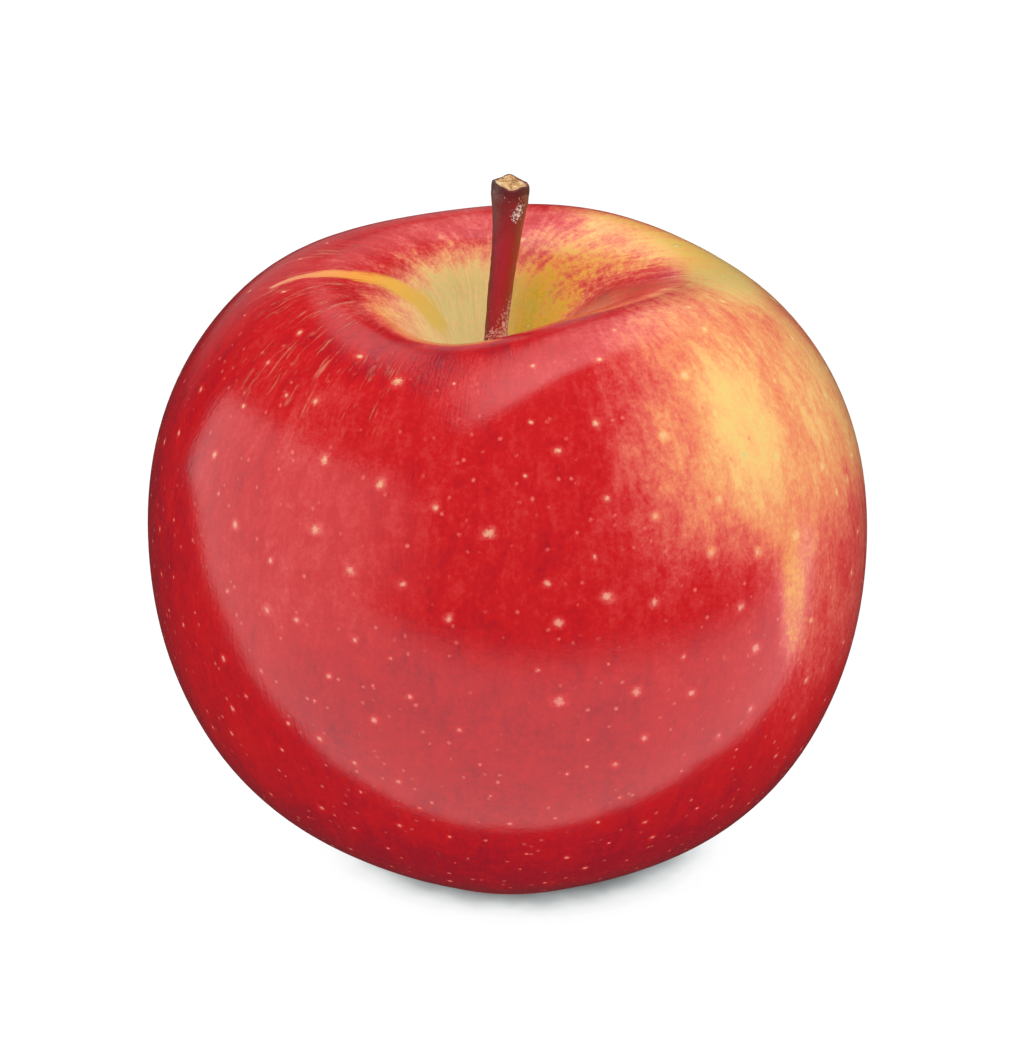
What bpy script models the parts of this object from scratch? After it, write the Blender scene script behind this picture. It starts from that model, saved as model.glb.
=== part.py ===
"""An apple standing on the rim of its calyx basin: the fruit, its stem, five dried sepals and the dried stamens.

The origin is under the middle of the fruit's box, on the surface that it stands on. +Z is up.
Lengths in the tables are in millimetres and become metres through MM.
"""

import math

import bmesh
import bpy
import numpy as np

MM = 0.001
GAP = 0.3  # between neighbouring pieces

# Fruit. The outline runs (radius, height) from the floor of the stem cavity over the shoulder,
# down the side to the ring that it stands on, and up into the calyx basin.
FRUIT_OUTLINE = (
    (2.2, 53.8),
    (5.0, 56.0),
    (9.0, 60.2),
    (13.5, 64.2),
    (19.5, 66.9),
    (27.0, 65.0),
    (34.0, 57.0),
    (38.0, 47.0),
    (39.0, 36.0),
    (37.5, 25.0),
    (33.0, 14.6),
    (26.5, 7.1),
    (19.5, 2.8),
    (16.7, 1.1),
    (14.6, 0.1),
    (12.4, 0.1),
    (10.2, 1.6),
    (7.8, 4.6),
    (5.2, 7.6),
    (2.6, 8.9),
)
STEPS_PER_SPAN = 2
STEPS_ROUND = 60
MID_HEIGHT = 36.0
FLAT_DEPTH = 0.25  # how much the standing ring is worn flat

# Slow waves round the fruit: (how many, height in mm or share of the radius, side of a crest in degrees).
SHOULDER_WAVES = ((1, 0.9, -54.0), (2, 0.85, -52.0), (3, 0.7, -49.0), (5, 0.15, -5.0))
GIRTH_WAVES = ((2, 0.005, -45.0), (3, 0.006, 48.0))
BASE_WAVES = ((5, 0.011, -23.0),)
WAVES_START = 3.0  # radius inside which the shoulder waves are still
WAVES_FULL = 16.0
SHOULDER_FROM, SHOULDER_TO = 26.0, 66.0
BASE_TO = 38.0
LEAN = (-0.2, -0.8)  # sideways shift of the outline, from mid height to the ring or the shoulder

# Stem: stations (x, y, height, radius) along its middle, foot first.
STEM_STATIONS = (
    (-1.75, 3.5, 51.1, 1.32),
    (-1.75, 3.5, 54.0, 1.28),
    (-1.45, 4.0, 58.0, 1.23),
    (-1.0, 4.7, 62.6, 1.30),
    (-0.45, 5.5, 67.2, 1.44),
    (-0.05, 6.15, 70.5, 1.68),
    (0.08, 6.5, 72.3, 1.95),
    (0.11, 6.7, 73.6, 2.15),
    (0.13, 6.85, 74.8, 2.02),
)
STEM_SIDES_QUARTER = 4
STEM_STEPS = 4

# Blind hole in the floor of the stem cavity that takes the foot of the stem.
SOCKET_RADIUS = STEM_STATIONS[0][3] + GAP
SOCKET_FLOOR = STEM_STATIONS[0][2] - GAP
CAVITY_SHIFT = STEM_STATIONS[0][:2]  # the cavity's floor is this far off the fruit's axis
CAVITY_STILL = 6.0
CAVITY_EDGE = 18.0
CAVITY_BELOW = 44.0

# Calyx: a narrow tube above the basin holds the stamens, and the sepals stand round its mouth.
CALYX_TUBE_RADIUS = 1.5
CALYX_TUBE_END = 12.5
STAMEN_STATIONS = ((0.7, 12.2), (0.95, 10.0), (1.1, 8.4), (1.35, 7.0), (1.1, 6.0), (0.5, 5.6))  # radius, height
STAMEN_FLUTES = 9
STAMEN_FLUTE_DEPTH = 0.22  # share of the radius
SEPALS = 5
SEPAL_FIRST_SIDE = 12.0  # degrees
# Middle line of one sepal: (distance from the axis, height, half width), root first.
SEPAL_STATIONS = (
    (2.75, 8.35, 1.25),
    (2.65, 7.4, 1.30),
    (2.75, 6.5, 1.15),
    (3.15, 5.7, 0.90),
    (3.8, 5.3, 0.60),
    (4.6, 5.35, 0.25),
)
SEPAL_THICKNESS = 0.45
SEPAL_CUP = 0.18  # how far the edges stand inward of the middle rib, as a share of the half width

SKIN_RED = (0.55, 0.02, 0.02, 1.0)
STEM_BROWN = (0.20, 0.035, 0.02, 1.0)
SEPAL_BROWN = (0.13, 0.075, 0.035, 1.0)
STAMEN_BROWN = (0.055, 0.03, 0.016, 1.0)


def clear_scene():
    for obj in list(bpy.data.objects):
        bpy.data.objects.remove(obj, do_unlink=True)


def make_material(name, colour, roughness):
    material = bpy.data.materials.new(name)
    material.use_nodes = True
    shader = material.node_tree.nodes["Principled BSDF"]
    shader.inputs["Base Color"].default_value = colour
    shader.inputs["Roughness"].default_value = roughness
    shader.inputs["Metallic"].default_value = 0.0
    material.diffuse_color = colour
    return material


def smooth_step(value, start, end):
    """0 before start, 1 after end, with a soft change between them."""
    share = min(max((value - start) / (end - start), 0.0), 1.0)
    return share * share * (3.0 - 2.0 * share)


def smooth_curve(points, steps):
    """A cubic curve through the points, with this many steps from each to the next."""
    points = np.array(points, float)
    slopes = np.empty_like(points)
    slopes[1:-1] = (points[2:] - points[:-2]) / 2.0
    slopes[0] = points[1] - points[0]
    slopes[-1] = points[-1] - points[-2]
    curve = []
    for i in range(len(points) - 1):
        for step in range(steps):
            t = step / steps
            curve.append(
                (2 * t**3 - 3 * t**2 + 1) * points[i]
                + (t**3 - 2 * t**2 + t) * slopes[i]
                + (3 * t**2 - 2 * t**3) * points[i + 1]
                + (t**3 - t**2) * slopes[i + 1]
            )
    curve.append(points[-1])
    return curve


def wave_sum(waves, side):
    """The waves' total at this side of the fruit, in radians from +X."""
    return sum(size * math.cos(count * (side - math.radians(crest))) for count, size, crest in waves)


def fruit_profile():
    """(radius, height) down the whole section: the stem's socket, the outline, and the calyx tube."""
    socket = [(0.0, SOCKET_FLOOR), (SOCKET_RADIUS, SOCKET_FLOOR), (SOCKET_RADIUS, FRUIT_OUTLINE[0][1] - 0.3)]
    tube_mouth = FRUIT_OUTLINE[-1][1] + 0.4
    tube = [(CALYX_TUBE_RADIUS, tube_mouth), (CALYX_TUBE_RADIUS, CALYX_TUBE_END), (0.0, CALYX_TUBE_END)]
    return socket + [tuple(point) for point in smooth_curve(FRUIT_OUTLINE, STEPS_PER_SPAN)] + tube


def grown(x, y, z):
    """Where growth has moved a point of the turned fruit: uneven shoulders, an oval girth, five low base lobes."""
    radius = math.hypot(x, y)
    side = math.atan2(y, x)
    upper = smooth_step(z, SHOULDER_FROM, SHOULDER_TO)
    lower = 1.0 - smooth_step(z, 0.0, BASE_TO)
    outer = smooth_step(radius, WAVES_START, WAVES_FULL)
    girth = 1.0 + outer * (wave_sum(GIRTH_WAVES, side) + lower * wave_sum(BASE_WAVES, side))
    height = z + upper * outer * wave_sum(SHOULDER_WAVES, side)
    lean = outer * (z - MID_HEIGHT) / MID_HEIGHT
    in_cavity = smooth_step(z, 0.5 * CAVITY_BELOW, CAVITY_BELOW) * (1.0 - smooth_step(radius, CAVITY_STILL, CAVITY_EDGE))
    new_x = x * girth + LEAN[0] * lean + CAVITY_SHIFT[0] * in_cavity
    new_y = y * girth + LEAN[1] * lean + CAVITY_SHIFT[1] * in_cavity
    return new_x, new_y, max(height, FLAT_DEPTH)


def finish_mesh(name, bm, material, smooth_angle=40.0):
    bmesh.ops.recalc_face_normals(bm, faces=bm.faces)
    mesh = bpy.data.meshes.new(name)
    bm.to_mesh(mesh)
    bm.free()
    mesh.shade_smooth()
    mesh.set_sharp_from_angle(angle=math.radians(smooth_angle))
    mesh.materials.append(material)
    obj = bpy.data.objects.new(name, mesh)
    bpy.context.collection.objects.link(obj)
    return obj


def make_fruit(material):
    bm = bmesh.new()
    verts = [bm.verts.new((radius * MM, 0.0, height * MM)) for radius, height in fruit_profile()]
    edges = [bm.edges.new(pair) for pair in zip(verts, verts[1:])]
    bmesh.ops.spin(
        bm,
        geom=verts + edges,
        cent=(0.0, 0.0, 0.0),
        axis=(0.0, 0.0, 1.0),
        angle=math.tau,
        steps=STEPS_ROUND,
        use_duplicate=False,
    )
    bmesh.ops.remove_doubles(bm, verts=bm.verts, dist=0.005 * MM)
    for vert in bm.verts:
        vert.co = [MM * value for value in grown(*(value / MM for value in vert.co))]
    return finish_mesh("fruit", bm, material)


def make_stem(material):
    curve = bpy.data.curves.new("stem", "CURVE")
    curve.dimensions = "3D"
    curve.bevel_depth = 1.0 * MM
    curve.bevel_resolution = STEM_SIDES_QUARTER
    curve.use_fill_caps = True
    stations = smooth_curve(STEM_STATIONS, STEM_STEPS)
    spline = curve.splines.new("POLY")
    spline.points.add(len(stations) - 1)
    for point, (x, y, z, radius) in zip(spline.points, stations):
        point.co = (x * MM, y * MM, z * MM, 1.0)
        point.radius = radius
    curve.materials.append(material)
    stem = bpy.data.objects.new("stem", curve)
    bpy.context.collection.objects.link(stem)
    return stem


def make_sepal(number, material):
    """A pointed blade, cupped inward, that leaves the mouth of the calyx tube and curls outward."""
    side = math.radians(SEPAL_FIRST_SIDE + (number - 1) * 360.0 / SEPALS)
    stations = smooth_curve(SEPAL_STATIONS, 1)
    bm = bmesh.new()
    rows = []
    for distance, height, half_width in stations:
        row = []
        for across in (-1.0, 0.0, 1.0):
            inward = SEPAL_CUP * half_width * abs(across)
            out = distance - inward
            sideways = across * half_width
            x = out * math.cos(side) - sideways * math.sin(side)
            y = out * math.sin(side) + sideways * math.cos(side)
            row.append(bm.verts.new((x * MM, y * MM, height * MM)))
        rows.append(row)
    for row, following in zip(rows, rows[1:]):
        for i in range(2):
            bm.faces.new((row[i], row[i + 1], following[i + 1], following[i]))
    sepal = finish_mesh(f"sepal_{number}", bm, material, smooth_angle=60.0)
    solid = sepal.modifiers.new("Thickness", "SOLIDIFY")
    solid.thickness = SEPAL_THICKNESS * MM
    solid.offset = 0.0
    return sepal


def make_stamens(material):
    """The tuft of dry stamens as one fluted body, rooted in the calyx tube."""
    corners = 2 * STAMEN_FLUTES
    bm = bmesh.new()
    ring = None
    for radius, height in STAMEN_STATIONS:
        verts = []
        for i in range(corners):
            reach = radius * (1.0 - STAMEN_FLUTE_DEPTH * (i % 2))
            angle = math.tau * i / corners
            verts.append(bm.verts.new((reach * math.cos(angle) * MM, reach * math.sin(angle) * MM, height * MM)))
        edges = [bm.edges.new((verts[i], verts[(i + 1) % corners])) for i in range(corners)]
        if ring:
            bmesh.ops.bridge_loops(bm, edges=ring + edges)
        else:
            bmesh.ops.contextual_create(bm, geom=edges)
        ring = edges
    bmesh.ops.contextual_create(bm, geom=ring)
    return finish_mesh("dried_stamens", bm, material, smooth_angle=20.0)


def stand_on_origin(fruit, pieces):
    """Hangs every piece on one empty that brings the middle of the fruit's base to the origin."""
    corners = np.array([vert.co for vert in fruit.data.vertices])
    middle = (corners.min(axis=0) + corners.max(axis=0)) / 2.0
    apple = bpy.data.objects.new("apple", None)
    apple.location = (-middle[0], -middle[1], -FLAT_DEPTH * MM)
    bpy.context.collection.objects.link(apple)
    for piece in pieces:
        piece.parent = apple


def main():
    clear_scene()
    skin = make_material("skin", SKIN_RED, 0.32)
    bark = make_material("stem_bark", STEM_BROWN, 0.6)
    dry_leaf = make_material("dry_sepal", SEPAL_BROWN, 0.8)
    dry_thread = make_material("dry_stamen", STAMEN_BROWN, 0.85)
    fruit = make_fruit(skin)
    pieces = [fruit, make_stem(bark), make_stamens(dry_thread)]
    pieces += [make_sepal(number, dry_leaf) for number in range(1, SEPALS + 1)]
    stand_on_origin(fruit, pieces)


main()
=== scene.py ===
import math
import random

import bpy
import numpy as np
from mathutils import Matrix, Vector


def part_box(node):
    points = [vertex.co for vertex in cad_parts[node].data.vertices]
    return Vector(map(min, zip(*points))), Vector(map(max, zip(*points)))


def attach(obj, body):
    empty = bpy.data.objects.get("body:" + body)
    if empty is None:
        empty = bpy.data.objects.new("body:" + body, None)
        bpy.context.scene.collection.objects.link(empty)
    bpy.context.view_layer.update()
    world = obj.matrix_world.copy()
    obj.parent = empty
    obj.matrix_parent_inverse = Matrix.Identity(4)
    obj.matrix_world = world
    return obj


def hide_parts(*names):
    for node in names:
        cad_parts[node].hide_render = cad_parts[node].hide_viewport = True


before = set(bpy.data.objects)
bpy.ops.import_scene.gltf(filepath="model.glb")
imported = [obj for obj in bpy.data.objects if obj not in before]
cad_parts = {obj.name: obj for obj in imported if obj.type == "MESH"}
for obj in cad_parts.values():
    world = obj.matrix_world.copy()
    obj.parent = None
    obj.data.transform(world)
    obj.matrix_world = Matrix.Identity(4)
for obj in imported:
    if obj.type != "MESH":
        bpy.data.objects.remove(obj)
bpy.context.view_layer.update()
mm = 0.001
random.seed(11)


# one output of a node, so that shader maths reads as sums
class Term:
    def __init__(self, finish, socket):
        self.finish = finish
        self.socket = socket

    def maths(self, operation, *values):
        return self.finish.node("ShaderNodeMath", {"operation": operation}, dict(enumerate(values)))

    def __add__(self, other):
        return self.maths("ADD", self, other)

    def __sub__(self, other):
        return self.maths("SUBTRACT", self, other)

    def __mul__(self, other):
        return self.maths("MULTIPLY", self, other)

    def __truediv__(self, other):
        return self.maths("DIVIDE", self, other)

    def __pow__(self, other):
        return self.maths("POWER", self, other)

    def __rsub__(self, other):
        return self.maths("SUBTRACT", other, self)

    def __rtruediv__(self, other):
        return self.maths("DIVIDE", other, self)

    __radd__ = __add__
    __rmul__ = __mul__

    def rise(self, low, high):
        # 0 at low, 1 at high, soft between them; the other way round when low is the larger
        if low > high:
            return 1 - self.rise(high, low)
        steps = {"interpolation_type": "SMOOTHSTEP"}
        return self.finish.node("ShaderNodeMapRange", steps, {"Value": self, "From Min": low, "From Max": high})


# one material, with short ways to add its nodes
class Finish:
    def __init__(self, name):
        self.material = bpy.data.materials.new(name)
        self.material.use_nodes = True
        self.tree = self.material.node_tree
        self.shader = self.tree.nodes["Principled BSDF"]

    def node(self, kind, settings, values, output=0):
        made = self.tree.nodes.new(kind)
        for name, value in settings.items():
            if name == "stops":
                self.setStops(made.color_ramp, value)
            else:
                setattr(made, name, value)
        for name, value in values.items():
            self.plug(made.inputs[name], value)
        return Term(self, made.outputs[output])

    def plug(self, socket, value):
        if isinstance(value, Term):
            self.tree.links.new(value.socket, socket)
        elif value is not None:
            socket.default_value = value

    def setStops(self, ramp, stops):
        while len(ramp.elements) < len(stops):
            ramp.elements.new(0.5)
        for element, (place, colour) in zip(ramp.elements, sorted(stops)):
            element.position = place
            element.color = colour

    def ramp(self, value, stops):
        return self.node("ShaderNodeValToRGB", {"stops": stops}, {"Fac": value})

    def noise(self, where, scale, detail=2.0, rough=0.5, stretch=(1, 1, 1), twist=0.0):
        if stretch != (1, 1, 1):
            where = self.node("ShaderNodeMapping", {}, {"Vector": where, "Scale": stretch})
        values = {"Vector": where, "Scale": scale, "Detail": detail, "Roughness": rough, "Distortion": twist}
        return self.node("ShaderNodeTexNoise", {}, values)

    def blend(self, share, first, second):
        return self.node("ShaderNodeMix", {"data_type": "RGBA"}, {0: share, 6: first, 7: second}, 2)

    def attribute(self, name, output):
        return self.node("ShaderNodeAttribute", {"attribute_name": name}, {}, output)

    def here(self):
        return self.node("ShaderNodeTexCoord", {}, {}, "Object")

    def parts(self, vector):
        node = self.tree.nodes.new("ShaderNodeSeparateXYZ")
        self.plug(node.inputs[0], vector)
        return [Term(self, output) for output in node.outputs]

    def bump(self, height, depth, strength):
        return self.node("ShaderNodeBump", {}, {"Height": height, "Distance": depth, "Strength": strength})

    def wear(self, colour, rough, normal=None):
        for name, value in (("Base Color", colour), ("Roughness", rough), ("Normal", normal)):
            self.plug(self.shader.inputs[name], value)
        return self.material


def colour(red, green, blue):
    # a colour as a screen shows it, 0 to 255, made linear
    shown = [value / 255 for value in (red, green, blue)]
    linear = [value / 12.92 if value <= 0.04045 else ((value + 0.055) / 1.055) ** 2.4 for value in shown]
    return (*linear, 1.0)


def soft(value, low, high):
    share = np.clip((value - low) / (high - low), 0.0, 1.0)
    return share * share * (3 - 2 * share)


def deselectAll():
    if bpy.context.mode != "OBJECT":
        bpy.ops.object.mode_set(mode="OBJECT")
    for obj in bpy.context.selected_objects:
        obj.select_set(False)


def pickOnly(obj):
    deselectAll()
    obj.select_set(True)
    bpy.context.view_layer.objects.active = obj


def applyModifier(obj, kind, **settings):
    pickOnly(obj)
    modifier = obj.modifiers.new(kind.title(), kind)
    for name, value in settings.items():
        setattr(modifier, name, value)
    bpy.ops.object.modifier_apply(modifier=modifier.name)


def subdivide(obj, levels):
    applyModifier(obj, "SUBSURF", levels=levels, render_levels=levels)


studio = {
    "floorSide": 5.0,
    "floorGlow": 1.0,
    # the painted shadow round the foot: its middle along x in m, and how much wider than deep it is
    "shadowMiddle": 0.0018,
    "shadowStretch": 1.10,
    "worldLight": 1.0,
    # place in m, tilt and turn in degrees, power in W of each lamp
    "lampSize": 0.62,
    "lamps": (
        ((-0.05, 0.05, 0.75), 0, 40, 0.96),
        ((0.60, -0.12, 0.38), 60, 80, 0.42),
    ),
    "roomRadius": 3.0,
    "cardGlow": 1.35,
    "roomGlow": 0.03,
    # the card on the floor, round the fruit: direction in degrees (0 front, minus left), then where it starts,
    # where it stops being bright and where it has faded, in mm from the middle
    "frontCard": (
        (-112, 400, 470, 474), (-108, 316, 470, 474), (-102, 204, 470, 474), (-96, 151, 470, 474),
        (-82, 101, 470, 474), (-58, 60, 440, 474), (-48, 50, 300, 474), (-36, 45, 170, 340), (-22, 41, 122, 225),
        (0, 39, 106, 172), (28, 42, 106, 172), (51, 51, 104, 166), (82, 76, 132, 205), (94, 110, 180, 260),
        (103, 210, 260, 380),
    ),
    # the standing card: direction, height of the bright part, height where it has faded, share of the full glow
    "leftCard": (
        (-179, 190, 250, 0.17), (-160, 190, 250, 0.17), (-146, 160, 220, 0.10), (-132, 120, 190, 0.0),
        (-121, 150, 190, 0.0), (-119, 150, 190, 0.95), (-105, 215, 260, 1.0), (-90, 265, 310, 1.0),
        (-75, 305, 360, 1.0), (-62, 330, 390, 1.0), (-52, 330, 400, 0.9), (-42, 270, 350, 0.55),
        (-32, 170, 260, 0.22), (-22, 60, 120, 0.0),
    ),
    "leftCardAway": 472,
    "frontCardHeight": 0.4,
    # the card overhead, in rows from front to back: x and y in mm, share of the full glow
    "topCardHeight": 700,
    "topCard": (
        ((-325, -380, 1.2), (-175, -250, 2.2), (-60, -125, 2.6), (60, 15, 2.0), (150, 110, 0.9), (350, 300, 0.3)),
        ((-299, -60, 1.0), (-180, 50, 1.8), (-60, 100, 2.1), (60, 150, 1.5), (200, 250, 0.7), (450, 450, 0.3)),
        ((-234, 435, 0.6), (-140, 435, 1.1), (0, 435, 1.1), (150, 435, 0.9), (300, 435, 0.5), (500, 500, 0.2)),
        ((-198, 934, 0.3), (-100, 934, 0.5), (50, 934, 0.5), (200, 934, 0.4), (350, 934, 0.25), (600, 934, 0.1)),
        ((-150, 1800, 0.25), (-50, 1800, 0.25), (100, 1800, 0.25), (300, 1800, 0.25), (450, 1800, 0.2),
         (700, 1800, 0.1)),
    ),
}

# lengths in m, the lens in mm; right and up slide the camera sideways without turning it
cameraPlace = {
    "target": (0.0, 0.0, 0.03375),
    "elevation": 24.0,
    "distance": 0.55,
    "lens": 175.9,
    "right": 0.00083,
    "up": 0.00407,
}


def makeCamera():
    tilt = math.radians(cameraPlace["elevation"])
    away = Vector((0, -math.cos(tilt), math.sin(tilt)))
    up = Vector((0, math.sin(tilt), math.cos(tilt)))
    place = Vector(cameraPlace["target"]) + away * cameraPlace["distance"]
    place += Vector((cameraPlace["right"], 0, 0)) + up * cameraPlace["up"]
    bpy.ops.object.camera_add(location=place, rotation=(math.pi / 2 - tilt, 0, 0))
    camera = bpy.context.object
    camera.data.lens = cameraPlace["lens"]
    camera.data.sensor_width = 36
    camera.data.clip_start = 0.01
    bpy.context.scene.camera = camera


def makeFloor():
    deselectAll()
    bpy.ops.mesh.primitive_plane_add(size=studio["floorSide"])
    floor = bpy.context.object
    floor.name = "paleFloor"
    paper = Finish("palePaper")
    here = paper.here()
    x, y = paper.parts(here)[:2]
    # painted shadow: the floor's glow is darkened to grey in a soft oval round the foot of the fruit
    sideways = (x - studio["shadowMiddle"]) / studio["shadowStretch"]
    fromFoot = (sideways**2 + y**2) ** 0.5 + (paper.noise(here, 180) - 0.5) * 0.002
    paintedShadow = paper.ramp(fromFoot * 20, [
        (0.27, (0.10, 0.11, 0.11, 1)), (0.30, (0.26, 0.30, 0.30, 1)), (0.32, (0.42, 0.46, 0.46, 1)),
        (0.34, (0.64, 0.68, 0.68, 1)), (0.365, (0.84, 0.86, 0.86, 1)), (0.40, (0.96, 0.97, 0.97, 1)),
        (0.46, (1, 1, 1, 1))])
    fibre = paper.noise(here, 900, 4)
    shade = paper.ramp(fibre, [(0.3, (0.03, 0.03, 0.03, 1)), (0.7, (0.04, 0.04, 0.04, 1))])
    paper.plug(paper.shader.inputs["Emission Color"], paintedShadow)
    paper.shader.inputs["Emission Strength"].default_value = studio["floorGlow"]
    floor.data.materials.append(paper.wear(colour=shade, rough=0.9))
    floor.visible_glossy = False
    floor.visible_diffuse = False


def onlyInGloss(obj):
    obj.visible_camera = False
    obj.visible_diffuse = False
    obj.visible_shadow = False


def makeCard(name, rows, glow):
    # rows of (x, y, z, share of the full glow), all the same length; it only shows in the gloss of the fruit
    across = len(rows[0])
    points = [point for row in rows for point in row]
    faces = []
    for down in range(len(rows) - 1):
        for step in range(across - 1):
            corner = down * across + step
            faces.append((corner, corner + 1, corner + across + 1, corner + across))
    mesh = bpy.data.meshes.new(name)
    mesh.from_pydata([[value * mm for value in point[:3]] for point in points], [], faces)
    mesh.attributes.new("glow", "FLOAT", "POINT").data.foreach_set("value", [point[3] for point in points])
    card = bpy.data.objects.new(name, mesh)
    bpy.context.scene.collection.objects.link(card)
    mesh.materials.append(glow)
    onlyInGloss(card)


def makeGlow(name, strength, shaded):
    white = Finish(name)
    white.shader.inputs["Base Color"].default_value = (0, 0, 0, 1)
    white.shader.inputs["Specular IOR Level"].default_value = 0
    white.shader.inputs["Emission Color"].default_value = (1, 1, 1, 1)
    white.shader.inputs["Emission Strength"].default_value = strength
    if shaded:
        white.plug(white.shader.inputs["Emission Color"], white.attribute("glow", "Fac"))
    white.material.cycles.emission_sampling = "NONE"
    return white.material


def around(degrees, away):
    angle = math.radians(degrees)
    return math.sin(angle) * away, -math.cos(angle) * away


def makeLamp(place, tilt, turn, power):
    bpy.ops.object.light_add(type="AREA", location=place, rotation=(math.radians(tilt), 0, math.radians(turn)))
    lamp = bpy.context.object
    lamp.data.size = studio["lampSize"]
    lamp.data.energy = power
    lamp.visible_camera = False
    lamp.visible_glossy = False


def makeStudio():
    makeFloor()
    glow = makeGlow("whiteCard", studio["cardGlow"], True)
    front, high = studio["frontCard"], studio["frontCardHeight"]
    makeCard("frontCard", [
        [(*around(turn, start), high, 1.0) for turn, start, bright, faded in front],
        [(*around(turn, bright), high, 1.0) for turn, start, bright, faded in front],
        [(*around(turn, faded), high, 0.0) for turn, start, bright, faded in front]], glow)
    left, away = studio["leftCard"], studio["leftCardAway"]
    makeCard("leftCard", [
        [(*around(turn, away), 0, share) for turn, bright, faded, share in left],
        [(*around(turn, away), bright, share) for turn, bright, faded, share in left],
        [(*around(turn, away), faded, 0) for turn, bright, faded, share in left]], glow)
    high = studio["topCardHeight"]
    makeCard("topCard", [[(x, y, high, share) for x, y, share in row] for row in studio["topCard"]], glow)
    deselectAll()
    bpy.ops.mesh.primitive_uv_sphere_add(segments=32, ring_count=16, radius=studio["roomRadius"])
    room = bpy.context.object
    room.name = "dimRoom"
    room.data.materials.append(makeGlow("dimWall", studio["roomGlow"], False))
    onlyInGloss(room)
    for place, tilt, turn, power in studio["lamps"]:
        makeLamp(place, tilt, turn, power)
    world = bpy.data.worlds.new("paleRoom")
    world.use_nodes = True
    world.node_tree.nodes["Background"].inputs[0].default_value = (1, 1, 1, 1)
    world.node_tree.nodes["Background"].inputs[1].default_value = studio["worldLight"]
    world.cycles_visibility.glossy = False
    scene = bpy.context.scene
    scene.world = world
    scene.view_settings.view_transform = "Standard"
    scene.view_settings.look = "None"


makeCamera()
makeStudio()
print("studio ready")


# Places on the skin are a side in degrees (-90 front, 0 right, 90 back, -180 left)
# and a distance over the skin from the foot of the stem, in mm.
growth = {
    # where the turned shape's own middle stands
    "middle": (0.20, 0.17, -0.25),
    # the cavity leans by this much, above these heights and inside these radii
    "cavityShift": (-1.75, 3.5),
    "cavityHeights": (22, 44),
    "cavityRadii": (6, 18),
    # waves round the shoulder: how many, how high, side of the crest
    "shoulderWaves": ((1, 0.9, -54.0), (2, 0.85, -52.0), (3, 0.7, -49.0), (5, 0.15, -5.0)),
    "shoulderHeights": (26, 66),
    "shoulderRadii": (3, 16),
    # height of the core, radius of the cavity's floor, and a middling radius of the fruit
    "core": 34.0,
    "floorRadius": 2.2,
    "waist": 35.0,
}

skinLook = {
    "subdivisions": 2,
    # faces are split once more outside this radius
    "splitBeyond": 21.0,
    # this much distance over the skin counts as 1 in the grain
    "grainLength": 40.0,
    # distance and turn of the streaks as they climb out of the cavity
    "swing": ((2, 0), (11, 0.70), (14.5, 0.52), (18.5, 0.35), (21, 0.21), (25, 0.07), (30, 0)),
    # 0 is pale yellow and 1 is dark crimson; later patches are laid over earlier ones
    "startBlush": 0.86,
    # side, distance, half width in degrees, half length in mm, blush, share
    "patches": (
        (-90, 98, 400, 27, 1.08, 1.0),
        (-185, 66, 66, 54, 1.05, 0.95),
        (-90, 22, 400, 9, 0.82, 0.9),
        (-235, 26, 75, 6, 0.94, 0.9),
        (-92, 47, 40, 27, 0.91, 0.9),
        (-96, 71, 74, 20, 1.00, 0.9),
        (-118, 28, 56, 8, 1.02, 0.9),
        (-86, 35, 24, 10, 0.92, 1.0),
        (40, 62, 75, 36, 0.66, 0.8),
        (20, 44, 70, 24, 0.28, 0.85),
        (-30, 44, 54, 34, 0.56, 1.0),
        (-30, 27, 46, 9, 0.46, 1.0),
        (-38, 42, 40, 22, 0.40, 1.0),
        (-44, 42, 13, 12, 0.18, 1.0),
        (-22, 44, 9, 12, 0.30, 0.8),
        (-8, 44, 13, 20, 0.26, 0.8),
        (-24, 63, 34, 13, 0.68, 0.8),
        (-54, 64, 19, 15, 0.94, 0.9),
        (-41, 61, 4.5, 9, 0.40, 0.8),
        (-70, 22, 44, 7, 0.98, 0.9),
        (-26, 24, 16, 6, 0.50, 0.7),
        (12, 28, 50, 8, 0.12, 1.0),
        (45, 25, 50, 6, 0.20, 0.9),
        (78, 21, 18, 8, 0.68, 0.9),
        (45, 17, 45, 9, 0.34, 1.0),
        (5, 14, 40, 10, 0.97, 0.95),
        (32, 12, 16, 9, 0.56, 0.8),
        (-150, 12, 90, 12, 0.44, 0.9),
        (-245, 17, 52, 8, 0.58, 0.8),
        (-255, 23, 45, 7, 0.82, 0.8),
        (-240, 9, 75, 10, 0.03, 1.0),
        (60, 8, 50, 8, 0.10, 1.0),
        (-90, 3, 400, 9, 0.08, 0.9),
        (-90, 122, 400, 20, 0.50, 0.85),
    ),
    # side and distance of the points that the one long stripe runs through
    "stripe": ((-214, 9), (-212, 11), (-205, 14.5), (-197, 18.5), (-190, 21), (-182, 25), (-178, 30)),
    # distance and half width of the stripe, in mm
    "stripeWidth": ((9, 2.7), (14, 2.6), (20, 2.3), (25, 1.5), (30, 0.8)),
    # side, distance, half width in degrees, half length in mm, share
    "goldenGround": (
        (48, 10, 50, 15, 1.0), (35, 26, 40, 6, 0.5), (-41, 61, 6, 9, 0.9), (-90, 122, 400, 17, 0.8),
    ),
    "paleStreaks": ((-172, 23, 55, 14, 1.0), (-135, 33, 36, 9, 0.8), (25, 19, 50, 9, 0.35)),
}

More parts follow.
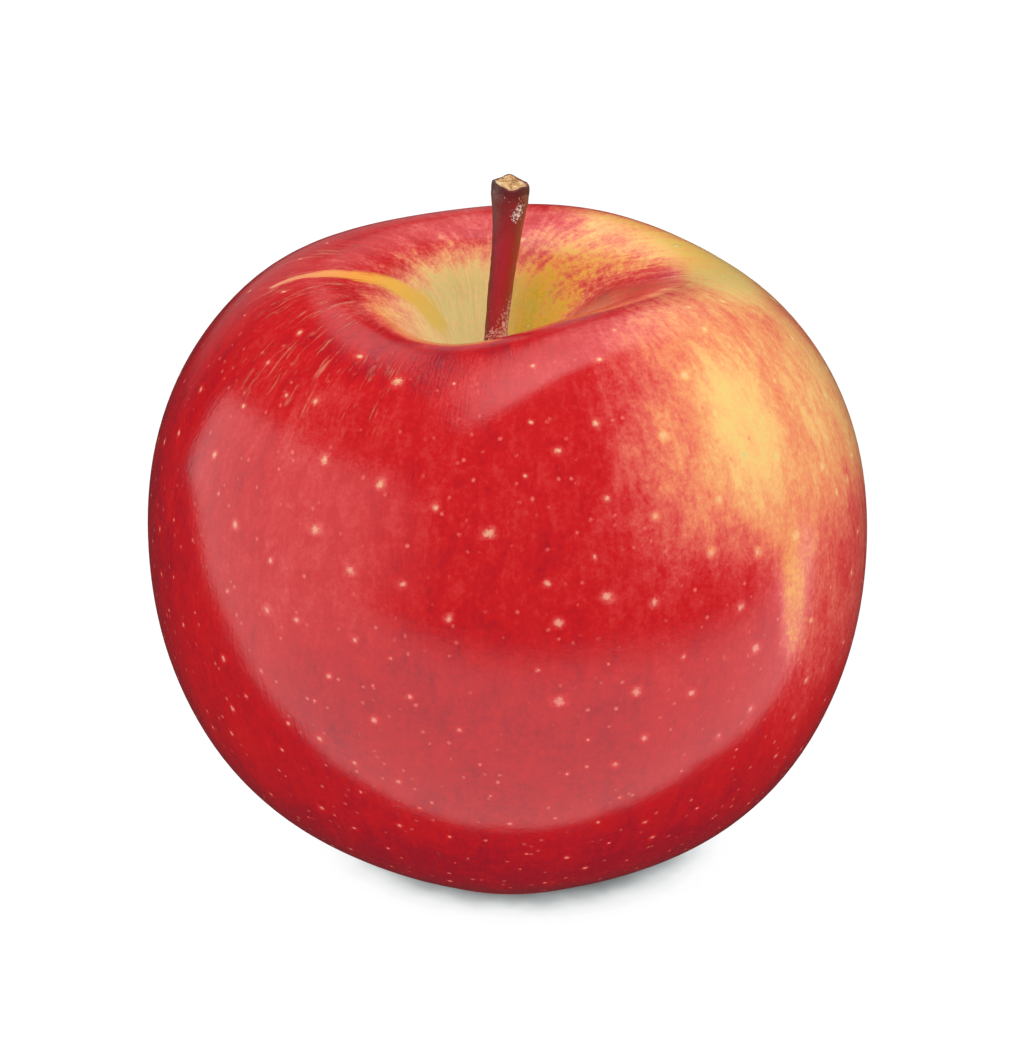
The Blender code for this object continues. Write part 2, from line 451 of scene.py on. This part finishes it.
lenticels = {
    # side, distance and radius in mm of the ones that stand out
    "placed": (
        (-115.7, 31.3, 0.65), (-129, 29.5, 0.45), (-124.5, 41.7, 0.5), (-123, 49.2, 0.55), (-115.2, 52.1, 0.5),
        (-107, 53.4, 0.4), (-139.7, 51.6, 0.45), (-112, 43.1, 0.5), (-98.6, 56.8, 0.5), (-83.3, 57.3, 0.5),
        (-93.6, 47.8, 0.65), (-101.7, 45.3, 0.4), (-149, 46, 0.4), (-164.7, 47.3, 0.35),
        (-113.8, 60.2, 0.4), (-130.9, 59.4, 0.45), (-110.3, 69.0, 0.4), (-121.5, 73.4, 0.4), (-140.4, 67.5, 0.45),
        (-140.8, 74.3, 0.35), (-144, 78.6, 0.35), (-81.9, 65.6, 0.6), (-70.2, 65.4, 0.6),
        (-75.5, 55.6, 0.5), (-68, 57, 0.45), (-54, 48.9, 0.3), (-49, 54.8, 0.45), (-53, 59.2, 0.5),
        (-49, 64.1, 0.6), (-58, 53.5, 0.35), (-61.2, 66.9, 0.45), (-73.8, 73.7, 0.4), (-68.4, 71, 0.4),
        (-55.8, 73.2, 0.4),
    ),
    # how many in all, how many places are tried, and distance with how likely it is
    "count": 430,
    "tries": 9000,
    "chance": ((22, 0.02), (30, 0.12), (60, 0.4), (80, 1.0), (98, 1.0), (104, 0.1)),
    # radii of the scattered ones, which are a little larger above the belly
    "radii": (0.14, 0.34),
    "belly": 60,
    "largerAbove": 1.25,
    # least gap between two, and how far round each one its offset is kept
    "gap": 3.9,
    "reach": 1.3,
    # the offset that stands for no lenticel near
    "farOff": 9.0,
}


def copyNode(node, name):
    piece = bpy.data.objects.new(name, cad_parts[node].data.copy())
    bpy.context.scene.collection.objects.link(piece)
    piece.data.materials.clear()
    pickOnly(piece)
    bpy.ops.object.mode_set(mode="EDIT")
    bpy.ops.mesh.select_all(action="SELECT")
    bpy.ops.mesh.remove_doubles(threshold=0.003 * mm)
    bpy.ops.mesh.tris_convert_to_quads(face_threshold=math.radians(60), shape_threshold=math.radians(60))
    bpy.ops.object.mode_set(mode="OBJECT")
    return piece


def pointsOf(piece):
    flat = np.empty(len(piece.data.vertices) * 3)
    piece.data.vertices.foreach_get("co", flat)
    return flat.reshape(-1, 3)


def skinPlaces(points):
    # side (radians), distance over the skin (mm) and radius (mm) of each point
    x, y, z = (points / mm - np.array(growth["middle"])).T
    flatX, flatY = x, y
    for _ in range(8):
        radius = np.hypot(flatX, flatY)
        share = soft(z, *growth["cavityHeights"]) * (1 - soft(radius, *growth["cavityRadii"]))
        flatX = x - growth["cavityShift"][0] * share
        flatY = y - growth["cavityShift"][1] * share
    side = np.arctan2(flatY, flatX)
    waves = sum(size * np.cos(count * (side - math.radians(crest))) for count, size, crest in growth["shoulderWaves"])
    height = z - soft(z, *growth["shoulderHeights"]) * soft(radius, *growth["shoulderRadii"]) * waves
    # the distance is walked down the points that lie straight in front
    turn = np.arctan2(height - growth["core"], radius)
    column = np.abs(np.angle(np.exp(1j * (side + math.pi / 2)))) < math.radians(1.0)
    column &= radius > growth["floorRadius"] * 0.9
    order = np.argsort(-turn[column])
    downRadius, downHeight, downTurn = (value[column][order] for value in (radius, height, turn))
    walked = np.r_[0, np.cumsum(np.hypot(np.diff(downRadius), np.diff(downHeight)))] + growth["floorRadius"]
    distance = np.interp(-turn, -downTurn, walked)
    return side, distance, radius


def sideGap(side, degrees):
    return np.angle(np.exp(1j * (side - math.radians(degrees))))


def streakSide(side, distance):
    return side - np.interp(distance, *zip(*skinLook["swing"])) * np.cos(side)


def paintBlush(side, distance):
    blush = np.full(len(side), skinLook["startBlush"])
    for place, along, halfWidth, halfLength, value, share in skinLook["patches"]:
        across = np.zeros(len(side)) if halfWidth > 180 else sideGap(side, place) / math.radians(halfWidth)
        reach = np.hypot(across, (distance - along) / halfLength)
        mask = share * (1 - soft(reach, 0.25, 1.0))
        blush += (value - blush) * mask
    return blush


def paintShare(side, distance, patches):
    total = np.zeros(len(side))
    for place, along, halfWidth, halfLength, share in patches:
        reach = np.hypot(sideGap(side, place) / math.radians(halfWidth), (distance - along) / halfLength)
        total = np.maximum(total, share * (1 - soft(reach, 0.3, 1.0)))
    return total


def paintStripe(side, distance, radius, line, reach):
    nearest = np.full(len(side), 99.0)
    for (sideA, alongA), (sideB, alongB) in zip(line, line[1:]):
        stepSide, stepAlong = math.radians(sideB - sideA) * radius, alongB - alongA
        gapSide, gapAlong = sideGap(side, sideA) * radius, distance - alongA
        share = np.clip((gapSide * stepSide + gapAlong * stepAlong) / (stepSide**2 + stepAlong**2), 0, 1)
        nearest = np.minimum(nearest, np.hypot(gapSide - share * stepSide, gapAlong - share * stepAlong))
    return np.clip(1 - nearest / reach, 0, 1)


def storeNumber(piece, name, values):
    piece.data.attributes.new(name, "FLOAT", "POINT").data.foreach_set("value", values.astype(np.float32))


def storeVector(piece, name, columns):
    flat = np.stack(columns, 1).astype(np.float32).ravel()
    piece.data.attributes.new(name, "FLOAT_VECTOR", "POINT").data.foreach_set("vector", flat)


def splitTallFaces(piece):
    # the fruit's faces are taller than they are wide, so outside the cavity their upright edges are cut once more
    bpy.ops.object.mode_set(mode="EDIT")
    bpy.ops.mesh.select_mode(type="EDGE")
    bpy.ops.mesh.select_all(action="DESELECT")
    bpy.ops.object.mode_set(mode="OBJECT")
    side, distance, radius = skinPlaces(pointsOf(piece))
    for edge in piece.data.edges:
        start, end = edge.vertices
        turn = abs(math.remainder(side[end] - side[start], math.tau)) * radius[start]
        upright = abs(distance[end] - distance[start]) > turn * 2
        edge.select = bool(upright and min(radius[start], radius[end]) > skinLook["splitBeyond"])
    bpy.ops.object.mode_set(mode="EDIT")
    bpy.ops.mesh.subdivide(number_cuts=1)
    bpy.ops.object.mode_set(mode="OBJECT")


def scatterLenticels(piece, side, distance):
    # the nearest lenticel's offset at every point, measured in that lenticel's own radius
    points = pointsOf(piece) / mm
    normals = np.empty(len(points) * 3)
    piece.data.vertices.foreach_get("normal", normals)
    normals = normals.reshape(-1, 3)
    centres, sizes = [], []
    for place, along, size in lenticels["placed"]:
        gap = np.hypot(sideGap(side, place) * growth["waist"], distance - along)
        centres.append(points[np.argmin(gap)])
        sizes.append(size)
    chance = np.interp(distance, *zip(*lenticels["chance"])) * np.hypot(points[:, 0], points[:, 1])
    for pick in random.choices(range(len(points)), list(chance), k=lenticels["tries"]):
        if len(centres) >= lenticels["count"]:
            break
        if min(np.sum((np.array(centres) - points[pick]) ** 2, 1)) < lenticels["gap"] ** 2:
            continue
        centres.append(points[pick])
        larger = lenticels["largerAbove"] if distance[pick] < lenticels["belly"] else 1.0
        sizes.append(random.uniform(*lenticels["radii"]) * larger)
    centres, sizes = np.array(centres), np.array(sizes)
    offset = normals * lenticels["farOff"]
    for centre, size in zip(centres, sizes):
        gap = points - centre
        near = np.sum(gap**2, 1) < lenticels["reach"] ** 2
        offset[near] = gap[near] / size
    storeVector(piece, "lenticel", offset.T)
    print("lenticels:", len(centres))


def makeSkinFinish():
    skin = Finish("blushedSkin")
    grain = skin.attribute("grain", "Vector")
    blush = skin.attribute("blush", "Fac")
    stripe = skin.attribute("stripe", "Fac")
    golden = skin.attribute("golden", "Fac")
    streaky = skin.attribute("streaky", "Fac")
    here = skin.here()
    along = skin.parts(grain)[2] * skinLook["grainLength"]
    inside = along.rise(30, 18)
    broad = skin.noise(grain, 7, 3, 0.6, (1, 1, 0.35)) - 0.5
    mottle = skin.noise(grain, 20, 5, 0.7, (1, 1, 0.6), 0.6) - 0.5
    thin = skin.noise(grain, 34, 4, 0.7, (1, 1, 0.2), 0.3) - 0.5
    hair = skin.noise(grain, 95, 2, 0.6, (1, 1, 0.2)) - 0.5
    blotch = skin.noise(here, 330, 4, 0.7) - 0.5
    speck = skin.noise(here, 1700, 3, 0.8) - 0.5
    lower = along.rise(74, 50)
    coarse = broad * (inside * 0.4 + 0.3) + mottle * (lower * 0.36 + 0.16)
    fine = thin * 0.16 + hair * 0.05 + blotch * (inside * 0.5 + 0.28) + speck * (inside * 0.3 + 0.4)
    calm = (blush.rise(-0.1, 0.5) * 0.5 + 0.5) * (blush.rise(1.0, 0.7) * 0.3 + 0.7) + along.rise(24, 14) * 0.3
    offset = skin.attribute("lenticel", "Vector")
    reach = skin.node("ShaderNodeVectorMath", {"operation": "LENGTH"}, {0: offset}, "Value")
    halo = (reach + blotch * 1.5).rise(2.4, 0.5)
    core = (reach + speck * 2.0 + blotch * 1.0).rise(1.05, 0.1)
    amount = blush + (coarse + fine) * calm - halo * 0.17
    base = skin.ramp(amount * 0.9, [
        (0.00, colour(220, 205, 112)), (0.11, colour(242, 206, 122)), (0.225, colour(248, 188, 118)),
        (0.34, colour(243, 158, 104)), (0.45, colour(238, 130, 94)), (0.54, colour(228, 102, 84)),
        (0.63, colour(220, 76, 70)), (0.72, colour(211, 48, 50)), (0.81, colour(204, 23, 28)),
        (0.90, colour(188, 18, 30)), (0.99, colour(160, 15, 34))])
    greenish = (thin * 1.6 + hair + blotch * 0.9).rise(-0.15, 0.3) * along.rise(18, 11) * blush.rise(0.4, 0.1)
    ripe = skin.ramp(amount + speck * 0.4, [
        (0.00, colour(214, 172, 46)), (0.18, colour(234, 180, 66)), (0.36, colour(240, 158, 78)),
        (0.60, colour(226, 104, 70))])
    base = skin.blend(golden * (amount + speck * 0.4).rise(0.70, 0.5), base, ripe)
    base = skin.blend(greenish * 0.75, base, colour(188, 186, 80))
    # partly painted light: deep in the cavity, less where the ground is golden, the pale ground is blended toward
    # cream, which lifts the hollow's shade and stands in for a whitish sheen
    base = skin.blend(along.rise(20, 9) * (0.34 - golden * 0.34), base, colour(255, 238, 190))
    hairline = (thin * 1.6 + hair * 0.9 + blotch * 0.7).rise(0.10, 0.45)
    base = skin.blend(hairline * streaky * 0.5, base, colour(242, 168, 132))
    ragged = stripe + thin * 0.9 + hair * 0.6 + blotch * 0.4
    lit = skin.ramp(along / skinLook["grainLength"], [
        (0.22, colour(232, 204, 104)), (0.40, colour(246, 192, 84)), (0.54, colour(250, 162, 66)),
        (0.74, colour(240, 150, 112))])
    base = skin.blend(ragged.rise(0.34, 0.72), base, lit)
    cells = {"voronoi_dimensions": "3D", "feature": "F1"}
    stipple = skin.node("ShaderNodeTexVoronoi", cells, {"Vector": here, "Scale": 620, "Randomness": 1.0}, "Distance")
    dot = (stipple + speck * 0.25).rise(0.20, 0.04) * (mottle + 0.2).rise(0.1, 0.3) * along.rise(24, 40)
    base = skin.blend(dot * 0.75, base, colour(246, 122, 108))
    pale = skin.blend(along.rise(30, 66), colour(247, 202, 150), colour(244, 160, 144))
    base = skin.blend(core * 0.75, base, pale)
    height = core * 0.5 + blotch * 0.5 + speck * 0.35 + hair * 0.25 + skin.noise(here, 90, 3) * 1.0
    rough = 0.15 + blotch * 0.12 + core * 0.2
    skin.shader.inputs["IOR"].default_value = 1.48
    return skin.wear(colour=base, rough=rough, normal=skin.bump(height, 0.06 * mm, 0.8))


def makeSkin():
    skin = copyNode("fruit", "appleSkin")
    subdivide(skin, skinLook["subdivisions"])
    splitTallFaces(skin)
    side, distance, radius = skinPlaces(pointsOf(skin))
    turned = streakSide(side, distance)
    storeVector(skin, "grain", (np.cos(turned), np.sin(turned), distance / skinLook["grainLength"]))
    storeNumber(skin, "blush", paintBlush(side, distance))
    width = np.interp(distance, *zip(*skinLook["stripeWidth"]))
    storeNumber(skin, "stripe", paintStripe(side, distance, radius, skinLook["stripe"], width))
    storeNumber(skin, "golden", paintShare(side, distance, skinLook["goldenGround"]))
    storeNumber(skin, "streaky", paintShare(side, distance, skinLook["paleStreaks"]))
    scatterLenticels(skin, side, distance)
    pickOnly(skin)
    bpy.ops.object.shade_smooth()
    skin.data.materials.append(makeSkinFinish())
    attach(skin, "root")
    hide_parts("fruit")
    print("skin ready,", len(skin.data.polygons), "faces")


makeSkin()


stemShape = {
    # middle x and y, height and radius of each ring in mm, foot first
    "rings": (
        (-1.75, 3.50, 51.10, 1.32), (-1.75, 3.50, 54.00, 1.28), (-1.45, 4.00, 58.00, 1.23), (-1.00, 4.70, 62.60, 1.30),
        (-0.45, 5.50, 67.20, 1.44), (-0.05, 6.15, 70.50, 1.68), (0.08, 6.50, 72.30, 1.95), (0.11, 6.70, 73.40, 2.12),
        (0.13, 6.85, 74.20, 2.08), (0.13, 6.85, 74.85, 1.96),
    ),
    "sides": 24,
    "subdivisions": 3,
    # the broken end: how far in each ring is and how much lower
    "rim": ((0.34, 0.12), (0.40, 0.16), (0.5, -0.05)),
    # side in degrees, half width, how much higher or lower in mm
    "ragged": (
        (0, 50, -0.75), (-85, 30, -0.60), (-45, 14, 0.10), (-172, 24, 0.12), (95, 9, 0.30), (140, 30, -0.25),
        (60, 20, -0.2),
    ),
    # a chip of pale cork: side, height, half width in degrees, half length in mm
    "flake": (-62, 71.7, 22, 1.25),
    # width and height of the lumps under the bark, and depth of its relief, in mm
    "lumpWidth": 1.1,
    "lumpHeight": 0.16,
    "relief": 0.10,
}


def selectPoints(piece, chosen):
    bpy.ops.object.mode_set(mode="EDIT")
    bpy.context.tool_settings.mesh_select_mode = (True, False, False)
    bpy.ops.mesh.select_all(action="DESELECT")
    bpy.ops.object.mode_set(mode="OBJECT")
    for vertex in piece.data.vertices:
        vertex.select = chosen(vertex.co / mm)
    bpy.ops.object.mode_set(mode="EDIT")


def growTube(name, rings, sides):
    # a closed tube drawn out from ring to ring; it stays in edit mode with its end picked
    x, y, z, radius = rings[0]
    deselectAll()
    bpy.ops.mesh.primitive_circle_add(
        vertices=sides, radius=radius * mm, fill_type="NGON", location=(x * mm, y * mm, z * mm))
    piece = bpy.context.object
    piece.name = name
    bpy.ops.object.transform_apply(location=True, rotation=True, scale=True)
    bpy.ops.object.mode_set(mode="EDIT")
    bpy.context.tool_settings.mesh_select_mode = (False, False, True)
    bpy.ops.mesh.select_all(action="SELECT")
    for (x, y, z, radius), (nextX, nextY, nextZ, nextRadius) in zip(rings, rings[1:]):
        step = Vector((nextX - x, nextY - y, nextZ - z)) * mm
        bpy.ops.mesh.extrude_region_move(TRANSFORM_OT_translate={"value": step})
        grow = nextRadius / radius
        middle = Vector((nextX, nextY, nextZ)) * mm
        bpy.ops.transform.resize(value=(grow, grow, 1), center_override=middle)
    return piece


def roughen(piece, name, width, height):
    clouds = bpy.data.textures.new(name, "CLOUDS")
    clouds.noise_scale = width * mm
    applyModifier(piece, "DISPLACE", texture=clouds, strength=height * mm, mid_level=0.5)


def closePiece(piece, slot, *nodes):
    bpy.ops.object.mode_set(mode="EDIT")
    bpy.ops.mesh.select_all(action="SELECT")
    bpy.ops.mesh.normals_make_consistent(inside=False)
    bpy.ops.object.mode_set(mode="OBJECT")
    bpy.ops.object.shade_smooth()
    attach(piece, "root")
    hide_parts(*nodes)


def makeBarkFinish():
    bark = Finish("stemBark")
    grown = bark.attribute("bark", "Vector")
    across = bark.parts(grown)[0]
    broken = bark.attribute("broken", "Fac")
    collar = bark.attribute("collar", "Fac")
    flake = bark.attribute("flake", "Fac")
    here = bark.here()
    height = bark.parts(here)[2] * 1000
    fibre = bark.noise(grown, 5, 5, 0.7, (1, 1, 0.16)) - 0.5
    patchy = bark.noise(here, 700, 4, 0.7) - 0.5
    speck = bark.noise(here, 3600, 3, 0.8) - 0.5
    sideways = across * 0.5 + 0.5
    body = bark.ramp(sideways + fibre * 0.45 + speck * 0.12, [
        (0.04, colour(112, 40, 40)), (0.14, colour(152, 32, 48)), (0.40, colour(172, 32, 50)),
        (0.58, colour(178, 34, 42)), (0.72, colour(164, 50, 38)), (0.92, colour(158, 74, 44))])
    knob = bark.ramp(sideways + patchy * 0.7 + speck * 0.5, [
        (0.06, colour(112, 84, 78)), (0.24, colour(112, 40, 38)), (0.50, colour(138, 34, 36)),
        (0.74, colour(124, 52, 38)), (1.00, colour(146, 90, 58))])
    base = bark.blend((height + patchy * 6 + speck * 3).rise(67.5, 73.5), body, knob)
    pits = (speck + patchy * 0.3).rise(0.22, 0.34)
    base = bark.blend(pits * 0.7, base, colour(226, 150, 128))
    felt = ((60.2 - height) / 3.0 + across * 0.8 + speck * 5 + patchy * 2.5).rise(0.15, 1.0)
    dust = bark.blend(speck.rise(-0.1, 0.12), colour(190, 96, 88), colour(246, 206, 190))
    base = bark.blend(felt * 0.85, base, dust)
    chip = (flake + speck * 2.0 + patchy * 1.4).rise(0.50, 0.66)
    cork = bark.blend(speck.rise(-0.12, 0.10), colour(150, 96, 70), colour(250, 238, 226))
    base = bark.blend(chip, base, cork)
    base = bark.blend(collar * (0.5 + patchy), base, colour(58, 20, 22))
    ticks = bark.noise(grown, 13, 1, 0.5, (1, 1, 0.2)).rise(0.55, 0.66)
    ticks = ticks * collar.rise(0.1, 0.45) * collar.rise(0.95, 0.6)
    base = bark.blend(ticks * 0.8, base, colour(206, 170, 148))
    wood = bark.ramp(bark.noise(here, 1500, 5, 0.75) + speck * 0.6, [
        (0.30, colour(116, 72, 44)), (0.44, colour(196, 144, 88)), (0.56, colour(226, 184, 124)),
        (0.70, colour(252, 240, 214))])
    pith = (broken + speck * 0.8 + patchy * 0.5).rise(0.30, 0.55)
    base = bark.blend(pith, base, wood)
    relief = fibre * 1.2 + patchy * 1.0 + speck * 0.8 + felt * speck * 2 + chip * 0.6
    rough = 0.40 + patchy * 0.3 + pith * 0.4 + felt * 0.3
    bark.shader.inputs["Specular IOR Level"].default_value = 0.35
    return bark.wear(colour=base, rough=rough, normal=bark.bump(relief, stemShape["relief"] * mm, 0.9))


def makeStem():
    shiftX, shiftY, shiftZ = growth["middle"]
    rings = [(x + shiftX, y + shiftY, z + shiftZ, radius) for x, y, z, radius in stemShape["rings"]]
    stem = growTube("appleStem", rings, stemShape["sides"])
    topX, topY, topZ, topRadius = rings[-1]
    for inward, down in stemShape["rim"]:
        bpy.ops.mesh.inset(thickness=inward * mm)
        bpy.ops.transform.translate(value=(0, 0, -down * mm))
    bpy.ops.object.mode_set(mode="OBJECT")
    # the ragged end: every point near the top is nudged by its side
    high = [vertex.index for vertex in stem.data.vertices if vertex.co.z > (topZ - 0.5) * mm]
    for index in high:
        place = stem.data.vertices[index].co / mm
        side = math.degrees(math.atan2(place.y - topY, place.x - topX))
        out = min(1.0, math.hypot(place.x - topX, place.y - topY) / topRadius)
        lift = random.uniform(-0.09, 0.09)
        for crest, halfWidth, size in stemShape["ragged"]:
            gap = (side - crest + 180) % 360 - 180
            lift += size * out * math.exp(-((gap / halfWidth) ** 2))
        selectPoints(stem, lambda point: (point - place).length < 0.001)
        bpy.ops.transform.translate(value=(0, 0, lift * mm))
        bpy.ops.object.mode_set(mode="OBJECT")
    subdivide(stem, stemShape["subdivisions"])
    roughen(stem, "barkLumps", stemShape["lumpWidth"], stemShape["lumpHeight"])
    x, y, z = (pointsOf(stem) / mm).T
    heights = [ring[2] for ring in rings]
    middleX, middleY, radius = (np.interp(z, heights, [ring[pick] for ring in rings]) for pick in (0, 1, 3))
    away = np.hypot(x - middleX, y - middleY)
    angle = np.arctan2(y - middleY, x - middleX)
    storeVector(stem, "bark", ((x - middleX) / radius, (y - middleY) / radius, z / 1.8))
    edge = topZ - 0.3 + np.zeros(len(z))
    for crest, halfWidth, size in stemShape["ragged"]:
        edge += size * np.exp(-((np.degrees(sideGap(angle, crest)) / halfWidth) ** 2))
    storeNumber(stem, "collar", soft(z - edge, -1.1, -0.25) * soft(away / radius, 0.75, 0.92))
    storeNumber(stem, "broken", soft(away / topRadius, 0.92, 0.70) * soft(z, topZ - 1.6, topZ - 1.2))
    side, high, halfWidth, halfLength = stemShape["flake"]
    off = np.hypot(np.degrees(sideGap(angle, side)) / halfWidth, (z - high) / halfLength)
    storeNumber(stem, "flake", 1 - off * 0.6)
    stem.data.materials.append(makeBarkFinish())
    closePiece(stem, "stem_bark", "stem")
    print("stem ready,", len(stem.data.polygons), "faces")


makeStem()


sepalShape = {
    # distance from the core, height and half width of each row of the blade in mm, root first
    "rows": (
        (2.62, 8.90, 1.00), (2.62, 8.20, 1.22), (2.60, 7.40, 1.26), (2.72, 6.60, 1.10), (3.06, 5.85, 0.86),
        (3.60, 5.40, 0.62), (4.20, 5.32, 0.38), (4.66, 5.62, 0.13),
    ),
    "firstSide": 12.0,
    "count": 5,
    "rootHeight": 0.35,
    "thickness": 0.26,
    "cup": 0.30,
    "ruffle": 0.16,
    "crumpleWidth": 0.7,
    "crumpleHeight": 0.10,
}

stamenShape = {
    # distance from the core and height of each ring of a filament, and its radius, in mm, root first
    "rings": ((0.95, 11.95), (0.98, 10.4), (1.06, 9.0), (1.16, 7.8), (1.20, 7.0), (1.10, 6.4)),
    "thick": 0.085,
    "anther": (0.20, 0.42),
    "count": 17,
    "styles": 3,
}


def turnedCopy(piece, name, degrees, stretch):
    copy = bpy.data.objects.new(name, piece.data.copy())
    bpy.context.scene.collection.objects.link(copy)
    pickOnly(copy)
    bpy.ops.object.mode_set(mode="EDIT")
    bpy.ops.mesh.select_all(action="SELECT")
    core = coreOfCalyx()
    bpy.ops.transform.resize(value=stretch, center_override=core)
    bpy.ops.transform.rotate(value=math.radians(degrees), orient_axis="Z", center_override=core)
    bpy.ops.object.mode_set(mode="OBJECT")
    return copy


def coreOfCalyx():
    low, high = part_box("dried_stamens")
    return Vector(((low.x + high.x) / 2, (low.y + high.y) / 2, high.z))


def makeDownFinish(name, pale, dark, tip):
    down = Finish(name)
    here = down.here()
    z = down.parts(here)[2]
    fuzz = down.noise(here, 3200, 4, 0.8) - 0.5
    veins = down.noise(here, 900, 4, 0.7, (1, 1, 0.25)) - 0.5
    base = down.ramp(veins + fuzz * 0.7 + 0.5, [(0.22, colour(*dark)), (0.50, colour(*pale)), (0.80, colour(*tip))])
    crisp = (z * -1000 + veins * 3).rise(-7.4, -5.4)
    base = down.blend(crisp * 0.6, base, colour(*dark))
    down.shader.inputs["Sheen Weight"].default_value = 0.35
    down.shader.inputs["Sheen Roughness"].default_value = 0.5
    rough = 0.78 + veins * 0.3
    return down.wear(colour=base, rough=rough, normal=down.bump(veins + fuzz, 0.12 * mm, 1.0))


def makeSepals():
    core = coreOfCalyx()
    deselectAll()
    away, height, halfWidth = sepalShape["rows"][0]
    bpy.ops.mesh.primitive_grid_add(x_subdivisions=1, y_subdivisions=6, size=2 * halfWidth * mm)
    blade = bpy.context.object
    # the grid becomes a short root strip, then its outer edge is drawn out row by row
    bpy.ops.object.mode_set(mode="EDIT")
    bpy.context.tool_settings.mesh_select_mode = (True, False, False)
    bpy.ops.mesh.select_all(action="SELECT")
    bpy.ops.transform.rotate(value=math.radians(90), orient_axis="Y", center_override=(0, 0, 0))
    bpy.ops.transform.resize(value=(1, 1, sepalShape["rootHeight"] / (2 * halfWidth)), center_override=(0, 0, 0))
    place = Vector((core.x + away * mm, core.y, height * mm))
    bpy.ops.transform.translate(value=place + Vector((0, 0, sepalShape["rootHeight"] / 2 * mm)))
    low = height + 0.02
    selectPoints(blade, lambda point: point.z < low)
    rows = sepalShape["rows"]
    for (away, height, halfWidth), (nextAway, nextHeight, nextHalf) in zip(rows, rows[1:]):
        step = Vector((nextAway - away, 0, nextHeight - height)) * mm
        bpy.ops.mesh.extrude_region_move(TRANSFORM_OT_translate={"value": step})
        middle = Vector((core.x + nextAway * mm, core.y, nextHeight * mm))
        bpy.ops.transform.resize(value=(1, nextHalf / halfWidth, 1), center_override=middle)
    bpy.ops.object.mode_set(mode="OBJECT")
    # the blade cups round the core, with a ruffled margin
    widest = max(halfWidth for away, height, halfWidth in rows)
    for index in range(len(blade.data.vertices)):
        point = blade.data.vertices[index].co / mm
        across = (point.y - core.y / mm) / widest
        push = -sepalShape["cup"] * across * across + random.uniform(-1, 1) * sepalShape["ruffle"] * abs(across)
        if abs(push) > 0.01:
            selectPoints(blade, lambda other: (other - point).length < 0.0005)
            bpy.ops.transform.translate(value=(push * mm, 0, 0))
            bpy.ops.object.mode_set(mode="OBJECT")
    applyModifier(blade, "SOLIDIFY", thickness=sepalShape["thickness"] * mm, offset=0.0)
    subdivide(blade, 2)
    roughen(blade, "sepalCrumple", sepalShape["crumpleWidth"], sepalShape["crumpleHeight"])
    finish = makeDownFinish("drySepal", (150, 128, 84), (78, 56, 36), (206, 194, 156))
    for number in range(sepalShape["count"]):
        turn = sepalShape["firstSide"] + 360 / sepalShape["count"] * number
        stretch = (1, random.uniform(0.9, 1.05), random.uniform(0.94, 1.06))
        sepal = turnedCopy(blade, "drySepal" + str(number + 1), turn, stretch)
        sepal.data.materials.append(finish)
        closePiece(sepal, "dry_sepal", "sepal_" + str(number + 1))
    bpy.data.objects.remove(blade)
    print("sepals ready")


def makeStamens():
    core = coreOfCalyx()
    thick = stamenShape["thick"]
    rings = [(away + core.x / mm, core.y / mm, height, thick) for away, height in stamenShape["rings"]]
    filament = growTube("filament", rings, 6)
    # the anther hangs at the end: it swells, then closes
    wide, tall = stamenShape["anther"]
    for grow, down in ((wide / thick, 0.1), (1.15, tall * 0.45), (0.55, tall * 0.45)):
        bpy.ops.mesh.extrude_region_move(TRANSFORM_OT_translate={"value": (-0.04 * mm, 0, -down * mm)})
        bpy.ops.transform.resize(value=(grow, grow, 1))
    bpy.ops.mesh.select_all(action="SELECT")
    bpy.ops.mesh.normals_make_consistent(inside=False)
    bpy.ops.object.mode_set(mode="OBJECT")
    subdivide(filament, 1)
    copies = []
    for number in range(stamenShape["count"]):
        turn = 360 / stamenShape["count"] * number + random.uniform(-6, 6)
        reach = random.uniform(0.72, 1.0)
        copies.append(turnedCopy(filament, "filament" + str(number), turn, (reach, 1, random.uniform(0.84, 1.04))))
    for number in range(stamenShape["styles"]):
        copies.append(turnedCopy(filament, "style" + str(number), 120 * number + 20, (0.32, 1.3, 0.9)))
    bpy.data.objects.remove(filament)
    deselectAll()
    for copy in copies:
        copy.select_set(True)
    bpy.context.view_layer.objects.active = copies[0]
    bpy.ops.object.join()
    stamens = bpy.context.object
    stamens.name = "driedStamens"
    stamens.data.materials.append(makeDownFinish("dryStamen", (120, 82, 48), (58, 36, 24), (178, 140, 92)))
    closePiece(stamens, "dry_stamen", "dried_stamens")
    print("stamens ready,", len(stamens.data.polygons), "faces")


makeSepals()
makeStamens()
